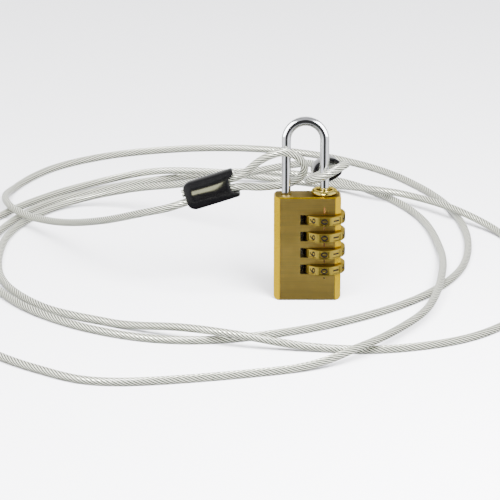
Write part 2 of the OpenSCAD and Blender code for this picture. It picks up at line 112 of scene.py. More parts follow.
# A sleeve's outside from its tail end to its full size: place along it, half height, half thickness.
SLEEVE_TAIL = [
    (-0.0095, 0.0029, 0.0015), (-0.00945, 0.00338, 0.00195), (-0.0093, 0.00377, 0.00236),
    (-0.0090, 0.00417, 0.00281), (-0.0086, 0.00453, 0.0032), (-0.0082, 0.00478, 0.00348),
    (-0.0078, 0.00498, 0.00369), (-0.0074, 0.00512, 0.00385), (-0.0070, 0.00521, 0.00396),
    (-0.0065, 0.00528, 0.00403), (-0.0061, 0.0053, 0.00405),
]
SLEEVE_AROUND = 96
# The power of a section's sines: 1 gives an oval, and less gives one that is flatter on its wide sides.
SECTION_POWER = 0.8
BARREL_PLACES = (0.12, 0.24, 0.36, 0.48, 0.6, 0.72, 0.84, 1.0)
BARREL_CROWN = 0.00035
# The two lips: how far they stand out, the half height where they do, and how steeply they rise.
LIP_RISE = 0.0024
LIP_HEIGHT = 0.0038
LIP_POWER = 4
RIM_ROUND = 0.0008
RIM_STEPS = 4
# The pocket: half height and half thickness, its bevelled edge, the depth that follows the lips, and its end.
POCKET = (0.00385, 0.0022)
POCKET_BEVEL = 0.0003
POCKET_THROAT = 0.0014
POCKET_END = 0.0042

# The dials' panels, from the axis, and how far the digits stand off them.
PANEL_RADIUS = 0.00715
DIGIT_LIFT = 0.000015
# In Blender's own font at size 1: the stroke's added weight, steps in a curve, and a wide digit's width.
DIGIT_WEIGHT = 0.02
DIGIT_FINENESS = 3
WIDE_DIGIT = 0.58

# Index marks: their gap to the dials, and above the first dial the ends of the longer mark.
MARK_GAP = 0.0005
TOP_MARK = (0.0006, 0.0030)
# The dot below the last dial: its ends and its width.
DOT = (-0.0019, -0.0013)
DOT_WIDTH = 0.0006
# How far the marks stand off the front, how deep they are, and the steps round each end.
MARK_LIFT = 0.00001
MARK_DEPTH = 0.00004
MARK_STEPS = 8

SENSOR_MM = 36
CLIP = (0.01, 20)
# Each softbox: where it hangs, the length of its sides, its power's setting, and its pieces' collection.
# The first lights everything. The others are flagged, each to the pieces that mirror it or to the floor.
SOFTBOXES = {
    "softbox_top": ((-0.1, -0.7, 1.2), 1.3, "top_power", None),
    "softbox_left": ((-0.9, -0.35, 0.45), 1.1, "side_power", "lit_from_sides"),
    "softbox_right": ((0.9, -0.35, 0.45), 1.1, "side_power", "lit_from_sides"),
    "lamp_front": ((-0.22, -1.28, 0.03), 0.48, "front_power", "lit_from_front"),
    "lamp_over": ((-0.1, -0.25, 1.0), 0.3, "over_power", "lit_from_over"),
    "lamp_floor": ((0.2, -0.3, 0.36), 0.26, "floor_power", "lit_floor"),
}
FRONT_LAMP_COLOUR = (1.0, 1.0, 0.64)

# The sockets of a Mix node that mixes colours, and the settings that make it multiply them.
FACTOR, FIRST, SECOND, MIXED = 0, 6, 7, 2
MULTIPLY = {"data_type": "RGBA", "blend_type": "MULTIPLY", FACTOR: 1.0}


# ---------- helpers ----------


def linear(hex_colour):
    """A linear RGBA colour from an sRGB hex value such as '#c9a545'."""
    h = hex_colour.lstrip("#")
    parts = [int(h[i : i + 2], 16) / 255 for i in (0, 2, 4)]
    return tuple(c / 12.92 if c <= 0.04045 else ((c + 0.055) / 1.055) ** 2.4 for c in parts) + (1.0,)


def shaded(hex_colour, factor):
    """The linear colour, made darker or lighter by a factor."""
    return tuple(min(1.0, factor * c) for c in linear(hex_colour)[:3]) + (1.0,)


def grey(value):
    return (value, value, value, 1.0)


def add(tree, kind, settings=None, links=None):
    """Adds one node with its settings, a colour ramp's stops among them, and links its inputs to outputs."""
    node = tree.nodes.new("ShaderNode" + kind)
    for name, value in (settings or {}).items():
        if name == "stops":
            elements = node.color_ramp.elements
            while len(elements) < len(value):
                elements.new(0.5)
            for element, (place, colour) in zip(elements, value):
                element.position = place
                element.color = colour
        elif isinstance(name, str) and name in node.bl_rna.properties:
            setattr(node, name, value)
        else:
            node.inputs[name].default_value = value
    for name, source in (links or {}).items():
        tree.links.new(source, node.inputs[name])
    return node


def new_material(name):
    """An empty material and its tree, with only the output left in it."""
    material = bpy.data.materials.new(name)
    material.use_nodes = True
    tree = material.node_tree
    for node in list(tree.nodes):
        if node.type != "OUTPUT_MATERIAL":
            tree.nodes.remove(node)
    return material, tree


def finish_material(material, tree, shader):
    output = next(n for n in tree.nodes if n.type == "OUTPUT_MATERIAL")
    tree.links.new(shader.outputs["BSDF"], output.inputs["Surface"])
    return material


def mesh_object(name, points, faces, material, smooth=True):
    mesh = bpy.data.meshes.new(name)
    mesh.from_pydata([tuple(p) for p in points], [], [tuple(f) for f in faces])
    mesh.update()
    if smooth:
        mesh.polygons.foreach_set("use_smooth", [True] * len(mesh.polygons))
    piece = bpy.data.objects.new(name, mesh)
    bpy.context.scene.collection.objects.link(piece)
    piece.data.materials.append(material)
    return piece


def dress(node, material):
    """Gives a CAD node a material in place of its plain one."""
    piece = NODES[node]
    piece.data.materials.clear()
    piece.data.materials.append(material)
    return piece


def light_by(lamps, piece):
    """Puts a piece among those that the flagged lamps light."""
    bpy.data.collections[lamps].objects.link(piece)


def on_sleeve(side, along, up=0.0, out=0.0):
    """The place of a point along a sleeve's axis, up across its two strands and out across its thickness."""
    at, turn = SLEEVES[side]
    matrix = Euler([math.radians(a) for a in turn], "XYZ").to_matrix()
    return Vector(at) + matrix @ Vector((along, out, up))


def lip(z):
    """How far the mouth's edge stands out of its middle, at a height across it: most at the two lips."""
    return LIP_RISE * min(1.0, abs(z) / LIP_HEIGHT) ** LIP_POWER


def smooth_line(points, step, floor):
    """A smooth line through the points, cut into even steps and never lower than floor, and its length."""
    p = np.array([list(q) for q in points])
    p = np.vstack([2 * p[0] - p[1], p, 2 * p[-1] - p[-2]])
    t = np.linspace(0, 1, ROUTE_FINENESS, endpoint=False)[:, None]
    rows = []
    for a, b, c, d in zip(p[:-3], p[1:-2], p[2:-1], p[3:]):
        cubic = (3 * b - a - 3 * c + d) * t**3
        rows.append(0.5 * (2 * b + (c - a) * t + (2 * a - 5 * b + 4 * c - d) * t**2 + cubic))
    line = np.vstack(rows + [p[-2]])
    line[:, 2] = np.maximum(line[:, 2], floor)
    run = np.concatenate([[0], np.cumsum(np.linalg.norm(np.diff(line, axis=0), axis=1))])
    at = np.linspace(0, run[-1], int(run[-1] / step) + 1)
    return np.stack([np.interp(at, run, line[:, k]) for k in range(3)], axis=1), run[-1]


def cable_line(radius):
    """The whole cable's centre line: cut end, left eye, loops on the floor, right eye, cut end."""
    inside = (FERRULE_BACK, 0, FERRULE_FRONT, MOUTH)
    cut = {side: [on_sleeve(side, x, STRAND_SIDE) for x in (CUT_END,) + inside] for side in SLEEVES}
    free = {side: [on_sleeve(side, x, -STRAND_SIDE) for x in (-SLEEVE_HALF,) + inside] for side in SLEEVES}
    points = cut["left"] + EYE_LEFT + free["left"][::-1] + ROUTE
    points += free["right"] + EYE_RIGHT[::-1] + cut["right"][::-1]
    return smooth_line(points, CABLE_STEP, radius)


def digit_mesh(text, height, width):
    """One digit's points and triangles, lying flat with its middle at the origin."""
    curve = bpy.data.curves.new("digit", "FONT")
    curve.body = text
    curve.size = 1.0
    curve.offset = DIGIT_WEIGHT
    curve.resolution_u = DIGIT_FINENESS
    holder = bpy.data.objects.new("digit", curve)
    bpy.context.scene.collection.objects.link(holder)
    bpy.context.view_layer.update()
    mesh = holder.evaluated_get(bpy.context.evaluated_depsgraph_get()).to_mesh()
    points = np.array([list(v.co) for v in mesh.vertices])
    mesh.calc_loop_triangles()
    triangles = [tuple(t.vertices) for t in mesh.loop_triangles]
    bpy.data.objects.remove(holder)
    bpy.data.curves.remove(curve)
    low, high = points.min(0), points.max(0)
    points -= (low + high) / 2
    points[:, 0] *= width / WIDE_DIGIT
    points[:, 1] *= height / (high[1] - low[1])
    points[:, 2] = 0
    return points.tolist(), triangles


# ---------- settings ----------


class StageSettings(bpy.types.PropertyGroup):
    camera_pitch: bpy.props.FloatProperty(
        name="Camera pitch",
        description="How far the camera looks down",
        default=math.radians(17.5),
        subtype="ANGLE",
    )
    camera_distance: bpy.props.FloatProperty(
        name="Camera distance",
        description="From the camera to the point it looks at",
        default=1.1,
        unit="LENGTH",
    )
    camera_target: bpy.props.FloatVectorProperty(
        name="Camera target",
        description="The point the camera looks at",
        default=(-0.0205, -0.0047, 0.019),
        subtype="XYZ",
    )
    camera_lens: bpy.props.FloatProperty(
        name="Lens", description="Focal length on a 36 mm sensor, in millimetres", default=221.8
    )
    floor_size: bpy.props.FloatProperty(
        name="Floor size", description="Length of the floor's sides", default=8.0, unit="LENGTH"
    )
    floor_colour: bpy.props.StringProperty(
        name="Floor colour", description="Hex colour of the floor", default="#d8d8dc"
    )
    top_power: bpy.props.FloatProperty(
        name="Top light", description="Power of the overhead softbox", default=150.0, unit="POWER"
    )
    side_power: bpy.props.FloatProperty(
        name="Side lights",
        description="Power of each of the two softboxes that the shackle mirrors",
        default=44.0,
        unit="POWER",
    )
    front_power: bpy.props.FloatProperty(
        name="Front lamp",
        description="Power of the lamp that the sleeves and the collar mirror",
        default=28.0,
        unit="POWER",
    )
    over_power: bpy.props.FloatProperty(
        name="Overhead lamp",
        description="Power of the lamp that the cable mirrors",
        default=28.0,
        unit="POWER",
    )
    floor_power: bpy.props.FloatProperty(
        name="Floor lamp",
        description="Power of the lamp that brightens the near floor",
        default=17.0,
        unit="POWER",
    )
    room_light: bpy.props.FloatProperty(
        name="Room light", description="Strength of the room's own light", default=1.7
    )


class CableSettings(bpy.types.PropertyGroup):
    diameter: bpy.props.FloatProperty(
        name="Cable diameter", description="Over the clear coat", default=0.0028, unit="LENGTH"
    )
    wires: bpy.props.IntProperty(
        name="Outer wires", description="Wires in the rope's outer layer", default=9
    )
    lay: bpy.props.FloatProperty(
        name="Lay length", description="Length in which a wire goes once round", default=0.0155, unit="LENGTH"
    )
    wire_colour: bpy.props.StringProperty(
        name="Wires", description="Hex colour of the wires' crowns through the coat", default="#f2f4e2"
    )
    # The colour between the wires is painted shade.
    groove_colour: bpy.props.StringProperty(
        name="Grooves", description="Hex colour between the wires", default="#1d1e1a"
    )


class PadlockSettings(bpy.types.PropertyGroup):
    brass_colour: bpy.props.StringProperty(
        name="Ground brass", description="Hex colour of the body's front and back", default="#e0c26c"
    )
    milled_colour: bpy.props.StringProperty(
        name="Milled brass", description="Hex colour of the body's chamfers and sides", default="#e6be1a"
    )
    # The top and base get a darker copy of the brass colour: painted shade.
    matt_colour: bpy.props.StringProperty(
        name="Matt brass", description="Hex colour of the body's top and base", default="#917a33"
    )
    polish_colour: bpy.props.StringProperty(
        name="Polished brass", description="Hex colour of the collar", default="#e8d272"
    )
    dial_colour: bpy.props.StringProperty(
        name="Dial brass", description="Hex colour of the dials", default="#c6ad4e"
    )
    steel_colour: bpy.props.StringProperty(
        name="Chrome", description="Hex colour of the shackle", default="#f2f3f8"
    )
    digit_height: bpy.props.FloatProperty(
        name="Digit height", description="Height of a dial's digits", default=0.00245, unit="LENGTH"
    )
    digit_width: bpy.props.FloatProperty(
        name="Digit width", description="Width of a wide digit", default=0.0025, unit="LENGTH"
    )
    mark_width: bpy.props.FloatProperty(
        name="Mark width", description="Width of the painted index marks", default=0.0005, unit="LENGTH"
    )


class SleeveSettings(bpy.types.PropertyGroup):
    plastic_colour: bpy.props.StringProperty(
        name="Sleeve", description="Hex colour of the plastic", default="#070708"
    )


# ---------- materials ----------


def brushed_brass(settings):
    """Brass block: its front and back ground on a belt along X, which dulls them with fine scratches and
    streaks, its chamfers and sides milled, which leaves them brighter, and its top and base tumbled to a dull
    finish. The top and base also get a darker copy of the brass colour, which is painted shade."""
    material, tree = new_material("brushed_brass")
    place = add(tree, "TexCoord")
    # Scratches 17 mm long and up to 0.4 mm apart, with finer ones between them.
    along = add(tree, "Mapping", {"Scale": (60, 60, 2400)}, {"Vector": place.outputs["Object"]})
    grain = add(
        tree,
        "TexNoise",
        {"Scale": 1.0, "Detail": 6.0, "Roughness": 0.6},
        {"Vector": along.outputs["Vector"]},
    ).outputs["Fac"]
    # Streaks that the belt leaves, about 2.4 mm apart.
    across = add(tree, "Mapping", {"Scale": (30, 30, 420)}, {"Vector": place.outputs["Object"]})
    streak = add(
        tree,
        "TexNoise",
        {"Scale": 1.0, "Detail": 3.0, "Roughness": 0.5},
        {"Vector": across.outputs["Vector"]},
    ).outputs["Fac"]
    # Tumbling marks about 0.3 mm across.
    pit = add(
        tree,
        "TexNoise",
        {"Scale": 3300.0, "Detail": 3.0, "Roughness": 0.6},
        {"Vector": place.outputs["Object"]},
    ).outputs["Fac"]
    brass, milled_brass, shaded_top_brass = settings.brass_colour, settings.milled_colour, settings.matt_colour
    band = add(
        tree,
        "ValToRGB",
        {"stops": [(0.35, shaded(brass, 0.95)), (0.65, shaded(brass, 1.05))]},
        {"Fac": streak},
    )
    scratch = add(tree, "ValToRGB", {"stops": [(0.35, grey(0.9)), (0.6, grey(1.0))]}, {"Fac": grain})
    ground = add(tree, "Mix", MULTIPLY, {FIRST: band.outputs["Color"], SECOND: scratch.outputs["Color"]})
    milled = add(
        tree,
        "ValToRGB",
        {"stops": [(0.35, shaded(milled_brass, 0.82)), (0.65, linear(milled_brass))]},
        {"Fac": pit},
    )
    # Painted shade: the darker colour of the top and base.
    shaded_top = add(
        tree,
        "ValToRGB",
        {"stops": [(0.35, shaded(shaded_top_brass, 0.9)), (0.65, linear(shaded_top_brass))]},
        {"Fac": pit},
    )
    belt_gloss = add(tree, "ValToRGB", {"stops": [(0.3, grey(0.38)), (0.7, grey(0.52))]}, {"Fac": grain})
    milled_gloss = add(tree, "ValToRGB", {"stops": [(0.3, grey(0.24)), (0.7, grey(0.36))]}, {"Fac": pit})
    # Faces that look along an axis are picked out by the square of the normal's part on it. The Z mask lays
    # the painted shade on the top and base.
    facing = add(tree, "SeparateXYZ", links={"Vector": place.outputs["Normal"]})
    faces = {}
    for axis in ("Y", "Z"):
        part = facing.outputs[axis]
        square = add(tree, "Math", {"operation": "MULTIPLY"}, {0: part, 1: part})
        faces[axis] = add(
            tree,
            "ValToRGB",
            {"stops": [(0.80, grey(0.0)), (0.92, grey(1.0))]},
            {"Fac": square.outputs["Value"]},
        ).outputs["Color"]
    colour = add(
        tree,
        "Mix",
        {"data_type": "RGBA"},
        {FACTOR: faces["Y"], FIRST: milled.outputs["Color"], SECOND: ground.outputs[MIXED]},
    )
    colour = add(
        tree,
        "Mix",
        {"data_type": "RGBA"},
        {FACTOR: faces["Z"], FIRST: colour.outputs[MIXED], SECOND: shaded_top.outputs["Color"]},
    )
    gloss = add(
        tree,
        "Mix",
        {"data_type": "RGBA"},
        {FACTOR: faces["Y"], FIRST: milled_gloss.outputs["Color"], SECOND: belt_gloss.outputs["Color"]},
    )
    gloss = add(
        tree,
        "Mix",
        {"data_type": "RGBA", SECOND: grey(0.5)},
        {FACTOR: faces["Z"], FIRST: gloss.outputs[MIXED]},
    )
    bump = add(tree, "Bump", {"Strength": 0.25, "Distance": 0.00003}, {"Height": grain})
    shader = add(
        tree,
        "BsdfPrincipled",
        {"Metallic": 1.0, "Specular Tint": (0.85, 0.82, 0.72, 1.0)},
        {
            "Base Color": colour.outputs[MIXED],
            "Roughness": gloss.outputs[MIXED],
            "Normal": bump.outputs["Normal"],
        },
    )
    return finish_material(material, tree, shader)


def polished_brass(name, colour, low, high):
    """Brass, turned and tumbled: yellow, with faint handling marks in the gloss and brown painted shade in
    its corners. Its roughness runs from low to high."""
    material, tree = new_material(name)
    place = add(tree, "TexCoord")
    # Handling marks about 1.1 mm across.
    blotch = add(
        tree,
        "TexNoise",
        {"Scale": 900.0, "Detail": 5.0, "Roughness": 0.55},
        {"Vector": place.outputs["Object"]},
    ).outputs["Fac"]
    stops = [(0.3, shaded(colour, 0.85)), (0.62, linear(colour))]
    shade = add(tree, "ValToRGB", {"stops": stops}, {"Fac": blotch})
    # Painted shade: the colour darkens to brown up to 0.4 mm out of a corner, from ambient occlusion.
    corner = add(tree, "AmbientOcclusion", {"samples": 8, "Distance": 0.0004})
    corner_shade = add(
        tree,
        "ValToRGB",
        {"stops": [(0.42, linear("#34250f")), (0.8, grey(1.0))]},
        {"Fac": corner.outputs["AO"]},
    )
    marked_and_corner_shaded = add(tree, "Mix", MULTIPLY, {FIRST: shade.outputs["Color"], SECOND: corner_shade.outputs["Color"]})
    gloss = add(tree, "ValToRGB", {"stops": [(0.3, grey(high)), (0.7, grey(low))]}, {"Fac": blotch})
    bump = add(tree, "Bump", {"Strength": 0.15, "Distance": 0.00002}, {"Height": blotch})
    shader = add(
        tree,
        "BsdfPrincipled",
        {"Metallic": 1.0, "Specular Tint": (0.7, 0.6, 0.4, 1.0)},
        {
            "Base Color": marked_and_corner_shaded.outputs[MIXED],
            "Roughness": gloss.outputs["Color"],
            "Normal": bump.outputs["Normal"],
        },
    )
    return finish_material(material, tree, shader)


def metal(name, colour, low, high, grain_mm):
    """A bare metal whose shade and roughness, from low to high, vary at the given grain."""
    material, tree = new_material(name)
    place = add(tree, "TexCoord")
    grain = add(
        tree,
        "TexNoise",
        {"Scale": 1.0 / (grain_mm * MM), "Detail": 4.0, "Roughness": 0.6},
        {"Vector": place.outputs["Object"]},
    ).outputs["Fac"]
    gloss = add(tree, "ValToRGB", {"stops": [(0.3, grey(low)), (0.7, grey(high))]}, {"Fac": grain})
    stops = [(0.3, shaded(colour, 0.86)), (0.7, linear(colour))]
    shade = add(tree, "ValToRGB", {"stops": stops}, {"Fac": grain})
    bump = add(tree, "Bump", {"Strength": 0.08, "Distance": 0.00001}, {"Height": grain})
    shader = add(
        tree,
        "BsdfPrincipled",
        {"Metallic": 1.0},
        {
            "Base Color": shade.outputs["Color"],
            "Roughness": gloss.outputs["Color"],
            "Normal": bump.outputs["Normal"],
        },
    )
    return finish_material(material, tree, shader)


def coated_rope(settings, length):
    """Galvanised steel rope under clear extruded PVC: the wires are pale on their crowns, with painted shade
    dark in the grooves between them, and the coat over them is smooth and glossy."""
    material, tree = new_material("galvanised_rope_under_clear_pvc")
    place = add(tree, "TexCoord")
    # The curve's UVs run from 0 to 1 along it and once round it, so the wires cross them once in each lay.
    run = add(tree, "SeparateXYZ", links={"Vector": place.outputs["UV"]})
    twist = add(
        tree,
        "Math",
        {"operation": "MULTIPLY_ADD", 1: -length / settings.lay},
        {0: run.outputs["X"], 2: run.outputs["Y"]},
    )
    wires = add(tree, "Math", {"operation": "MULTIPLY", 1: settings.wires}, {0: twist.outputs["Value"]})
    crown = add(tree, "Math", {"operation": "PINGPONG", 1: 0.5}, {0: wires.outputs["Value"]}).outputs["Value"]
    # Patches in the zinc are about 0.7 mm across.
    zinc = add(
        tree,
        "TexNoise",
        {"Scale": 1400.0, "Detail": 3.0, "Roughness": 0.6},
        {"Vector": place.outputs["Object"]},
    ).outputs["Fac"]
    # Painted shade: near black in the grooves between the wires, fading over their flanks to the crowns'
    # colour.
    stops = [
        (0.12, linear(settings.groove_colour)),
        (0.23, shaded(settings.wire_colour, 0.4)),
        (0.36, linear(settings.wire_colour)),
    ]
    wire = add(tree, "ValToRGB", {"stops": stops}, {"Fac": crown})
    patch = add(tree, "ValToRGB", {"stops": [(0.3, grey(0.84)), (0.65, grey(1.0))]}, {"Fac": zinc})
    shade = add(tree, "Mix", MULTIPLY, {FIRST: wire.outputs["Color"], SECOND: patch.outputs["Color"]})
    gloss = add(tree, "ValToRGB", {"stops": [(0.3, grey(0.28)), (0.7, grey(0.42))]}, {"Fac": zinc})
    bump = add(tree, "Bump", {"Strength": 0.9, "Distance": 0.0004}, {"Height": crown})
    shader = add(
        tree,
        "BsdfPrincipled",
        {"Metallic": 0.7, "Coat Weight": 0.8, "Coat Roughness": 0.08, "Coat IOR": 1.5},
        {
            "Base Color": shade.outputs[MIXED],
            "Roughness": gloss.outputs["Color"],
            "Normal": bump.outputs["Normal"],
        },
    )
    return finish_material(material, tree, shader)


def moulded_plastic(colour):
    """Soft PVC, moulded in a polished tool: near black and glossy, with a faint orange peel."""
    material, tree = new_material("moulded_black_pvc")
    place = add(tree, "TexCoord")
    # Orange peel of about 0.25 mm, and scuffs of about 2 mm.
    peel = add(
        tree,
        "TexNoise",
        {"Scale": 4000.0, "Detail": 3.0, "Roughness": 0.5},
        {"Vector": place.outputs["Object"]},
    ).outputs["Fac"]
    scuff = add(
        tree,
        "TexNoise",
        {"Scale": 500.0, "Detail": 4.0, "Roughness": 0.6},
        {"Vector": place.outputs["Object"]},
    ).outputs["Fac"]
    gloss = add(tree, "ValToRGB", {"stops": [(0.35, grey(0.12)), (0.7, grey(0.2))]}, {"Fac": scuff})
    stops = [(0.4, linear(colour)), (0.85, shaded(colour, 1.5))]
    shade = add(tree, "ValToRGB", {"stops": stops}, {"Fac": scuff})
    bump = add(tree, "Bump", {"Strength": 0.05, "Distance": 0.00001}, {"Height": peel})
    shader = add(
        tree,
        "BsdfPrincipled",
        {"Metallic": 0.0, "IOR": 1.53, "Specular IOR Level": 0.19},
        {
            "Base Color": shade.outputs["Color"],
            "Roughness": gloss.outputs["Color"],
            "Normal": bump.outputs["Normal"],
        },
    )
    return finish_material(material, tree, shader)


def enamel(name, colour):
    """Enamel paint, wiped into a groove: flat colour with thin, worn patches."""
    material, tree = new_material(name)
    place = add(tree, "TexCoord")
    # Worn patches about 0.4 mm across, a little greyer than the paint.
    wear = add(
        tree,
        "TexNoise",
        {"Scale": 2500.0, "Detail": 3.0, "Roughness": 0.6},
        {"Vector": place.outputs["Object"]},
    ).outputs["Fac"]
    worn = tuple(0.8 * c + 0.006 for c in linear(colour)[:3]) + (1.0,)
    shade = add(tree, "ValToRGB", {"stops": [(0.3, worn), (0.6, linear(colour))]}, {"Fac": wear})
    shader = add(
        tree,
        "BsdfPrincipled",
        {"Metallic": 0.0, "Roughness": 0.55, "IOR": 1.5, "Specular IOR Level": 0.12},
        {"Base Color": shade.outputs["Color"]},
    )
    return finish_material(material, tree, shader)


def laminate_floor(colour):
    """Matt white laminate: even, with a very soft sheen."""
    material, tree = new_material("matt_white_laminate")
    place = add(tree, "TexCoord")
    # Faint clouds about 330 mm across.
    cloud = add(
        tree,
        "TexNoise",
        {"Scale": 3.0, "Detail": 2.0, "Roughness": 0.4},
        {"Vector": place.outputs["Object"]},
    ).outputs["Fac"]
    stops = [(0.3, shaded(colour, 0.97)), (0.7, linear(colour))]
    shade = add(tree, "ValToRGB", {"stops": stops}, {"Fac": cloud})
    shader = add(
        tree,
        "BsdfPrincipled",
        {"Roughness": 0.5, "IOR": 1.45, "Specular IOR Level": 0.3},
        {"Base Color": shade.outputs["Color"]},
    )
    return finish_material(material, tree, shader)


# ---------- operators ----------


class CABLE_LOCK_OT_stage(bpy.types.Operator):
    """Sets the camera, the pale floor, the softboxes and the room's light"""

    bl_idname = "cable_lock.stage"
    bl_label = "Stage"

    def execute(self, context):
        s = context.scene.stage_settings
        camera = bpy.data.objects.new("camera", bpy.data.cameras.new("camera"))
        context.scene.collection.objects.link(camera)
        camera.data.sensor_width = SENSOR_MM
        camera.data.lens = s.camera_lens
        camera.data.clip_start, camera.data.clip_end = CLIP
        look = Vector((0, math.cos(s.camera_pitch), -math.sin(s.camera_pitch)))
        camera.location = Vector(s.camera_target) - look * s.camera_distance
        camera.rotation_euler = (math.pi / 2 - s.camera_pitch, 0, 0)
        context.scene.camera = camera
        floor = self.floor(s)
        for name, (at, size, power, lights) in SOFTBOXES.items():
            self.softbox(name, at, size, getattr(s, power), lights)
        # The top softbox is a diffuser so large and near that no gloss shows its edge.
        bpy.data.objects["softbox_top"].visible_glossy = False
        bpy.data.objects["lamp_front"].data.color = FRONT_LAMP_COLOUR
        light_by("lit_floor", floor)
        self.room(context)
        return {"FINISHED"}

    def floor(self, s):
        h = s.floor_size / 2
        corners = [(-h, -h, 0), (h, -h, 0), (h, h, 0), (-h, h, 0)]
        floor = mesh_object("floor", corners, [(0, 1, 2, 3)], laminate_floor(s.floor_colour), False)
        # The metals mirror the dim room in front of the object, and not the floor.
        floor.visible_glossy = False
        return floor

    def softbox(self, name, at, size, power, lights):
        """A square softbox that points at the object, and lights everything or one collection of pieces."""
        lamp = bpy.data.objects.new(name, bpy.data.lights.new(name, "AREA"))
        bpy.context.scene.collection.objects.link(lamp)
        lamp.data.shape = "SQUARE"
        lamp.data.size = size
        lamp.data.energy = power
        lamp.location = at
        lamp.visible_camera = False
        lamp.rotation_euler = (-Vector(at)).to_track_quat("-Z", "Y").to_euler()
        if lights:
            pieces = bpy.data.collections.get(lights) or bpy.data.collections.new(lights)
            lamp.light_linking.receiver_collection = pieces

    def room(self, context):
        """A pale room for the metal to mirror, darker below, in a gap in front and at two posts behind."""
        world = bpy.data.worlds.new("room")
        context.scene.world = world
        world.use_nodes = True
        tree = world.node_tree
        tree.nodes.clear()
        way = add(tree, "TexCoord").outputs["Generated"]
        parts = add(tree, "SeparateXYZ", links={"Vector": way})
        # The gap: an upright oval round the direction (0, -0.93, 0.1), a little narrower along X.
        oval = add(
            tree,
            "Mapping",
            {"Location": (0.0, 0.56, -0.075), "Scale": (0.86, 0.6, 0.75)},
            {"Vector": way},
        )
        off = add(tree, "VectorMath", {"operation": "LENGTH"}, {0: oval.outputs["Vector"]})
        gap = add(
            tree,
            "ValToRGB",
            {"stops": [(0.42, grey(0.03)), (0.62, grey(1.0))]},
            {"Fac": off.outputs["Value"]},
        )
        # Heights from 0 straight below, which is dark under the object, to 1 straight above.
        height = add(tree, "Math", {"operation": "MULTIPLY_ADD", 1: 0.5, 2: 0.5}, {0: parts.outputs["Z"]})
        stops = [(0.1, grey(0.05)), (0.32, grey(0.9)), (0.4, grey(1.0)), (0.75, grey(0.8)), (0.95, grey(0.4))]
        fall = add(tree, "ValToRGB", {"stops": stops}, {"Fac": height.outputs["Value"]})
        # Two dark posts behind the object, 50 degrees to each side. Turns count from 0 behind to 1 in front.
        turn = add(tree, "Math", {"operation": "ARCTAN2"}, {0: parts.outputs["X"], 1: parts.outputs["Y"]})
        aside = add(tree, "Math", {"operation": "ABSOLUTE"}, {0: turn.outputs["Value"]})
        share = add(tree, "Math", {"operation": "DIVIDE", 1: math.pi}, {0: aside.outputs["Value"]})
        stops = [(0.2, grey(1.0)), (0.25, grey(0.1)), (0.31, grey(0.1)), (0.37, grey(1.0))]
        posts = add(tree, "ValToRGB", {"stops": stops}, {"Fac": share.outputs["Value"]})
        light = add(tree, "Mix", MULTIPLY, {FIRST: gap.outputs["Color"], SECOND: fall.outputs["Color"]})
        light = add(tree, "Mix", MULTIPLY, {FIRST: light.outputs[MIXED], SECOND: posts.outputs["Color"]})
        strength = context.scene.stage_settings.room_light
        background = add(tree, "Background", {"Strength": strength}, {"Color": light.outputs[MIXED]})
        add(tree, "OutputWorld", links={"Surface": background.outputs["Background"]})


class CABLE_LOCK_OT_sleeves(bpy.types.Operator):
    """Moulds the black sleeves and dresses the ferrules inside them"""

    bl_idname = "cable_lock.sleeves"
    bl_label = "Sleeves"

    def execute(self, context):
        s = context.scene.sleeve_settings
        plastic = moulded_plastic(s.plastic_colour)
        # Aluminium ferrule, crimped: satin, with 0.3 mm tool marks.
        crimped = metal("crimped_aluminium", "#b9babc", 0.30, 0.5, 0.3)
        for side in SLEEVES:
            piece = self.sleeve(side, plastic)
            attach(piece, "root")
            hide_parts("sleeve_" + side)
            light_by("lit_from_front", piece)
            dress("ferrule_" + side, crimped)
        return {"FINISHED"}

    def sleeve(self, side, material):
        """One sleeve: tail, barrel, the rim of its mouth with two lips, and the pocket inside."""
        rings = [self.ring(half_z, half_y, x) for x, half_z, half_y in SLEEVE_TAIL]
        start, full_z, full_y = SLEEVE_TAIL[-1]
        # The barrel is a little crowned along its length.
        for share in BARREL_PLACES:
            half_y = full_y + BARREL_CROWN * (1 - (2 * share - 1) ** 2)
            rings.append(self.ring(full_z, half_y, start + share * (MOUTH - RIM_ROUND - start), share))
        for step in range(1, RIM_STEPS + 1):
            a = math.pi / 2 * step / RIM_STEPS
            inset = RIM_ROUND * (1 - math.cos(a))
            back = RIM_ROUND * (1 - math.sin(a))
            rings.append(self.ring(full_z - inset, full_y - inset, MOUTH - back, 1))
        half_z, half_y = POCKET
        rings.append(self.ring(half_z + POCKET_BEVEL, half_y + POCKET_BEVEL, MOUTH, 1))
        rings.append(self.ring(half_z, half_y, MOUTH - POCKET_BEVEL, 1))
        rings.append(self.ring(half_z, half_y, MOUTH - POCKET_THROAT, 1))
        rings.append(self.ring(half_z, half_y, POCKET_END))
        points = [on_sleeve(side, *p) for ring in rings for p in ring]
        n = SLEEVE_AROUND
        faces = [
            (j * n + k, (j + 1) * n + k, (j + 1) * n + (k + 1) % n, j * n + (k + 1) % n)
            for j in range(len(rings) - 1)
            for k in range(n)
        ]
        faces += [range(n), range((len(rings) - 1) * n, len(rings) * n)[::-1]]
        return mesh_object(f"sleeve_{side}_skin", points, faces, material)

    def ring(self, half_z, half_y, place, follow=0):
        """A ring of points round the sleeve at a place along it, which follows the lips by a share."""
        points = []
        for k in range(SLEEVE_AROUND):
            a = 2 * math.pi * k / SLEEVE_AROUND
            up, out = (math.copysign(abs(v) ** SECTION_POWER, v) for v in (math.sin(a), math.cos(a)))
            points.append((place + follow * lip(half_z * up), half_z * up, half_y * out))
        return points


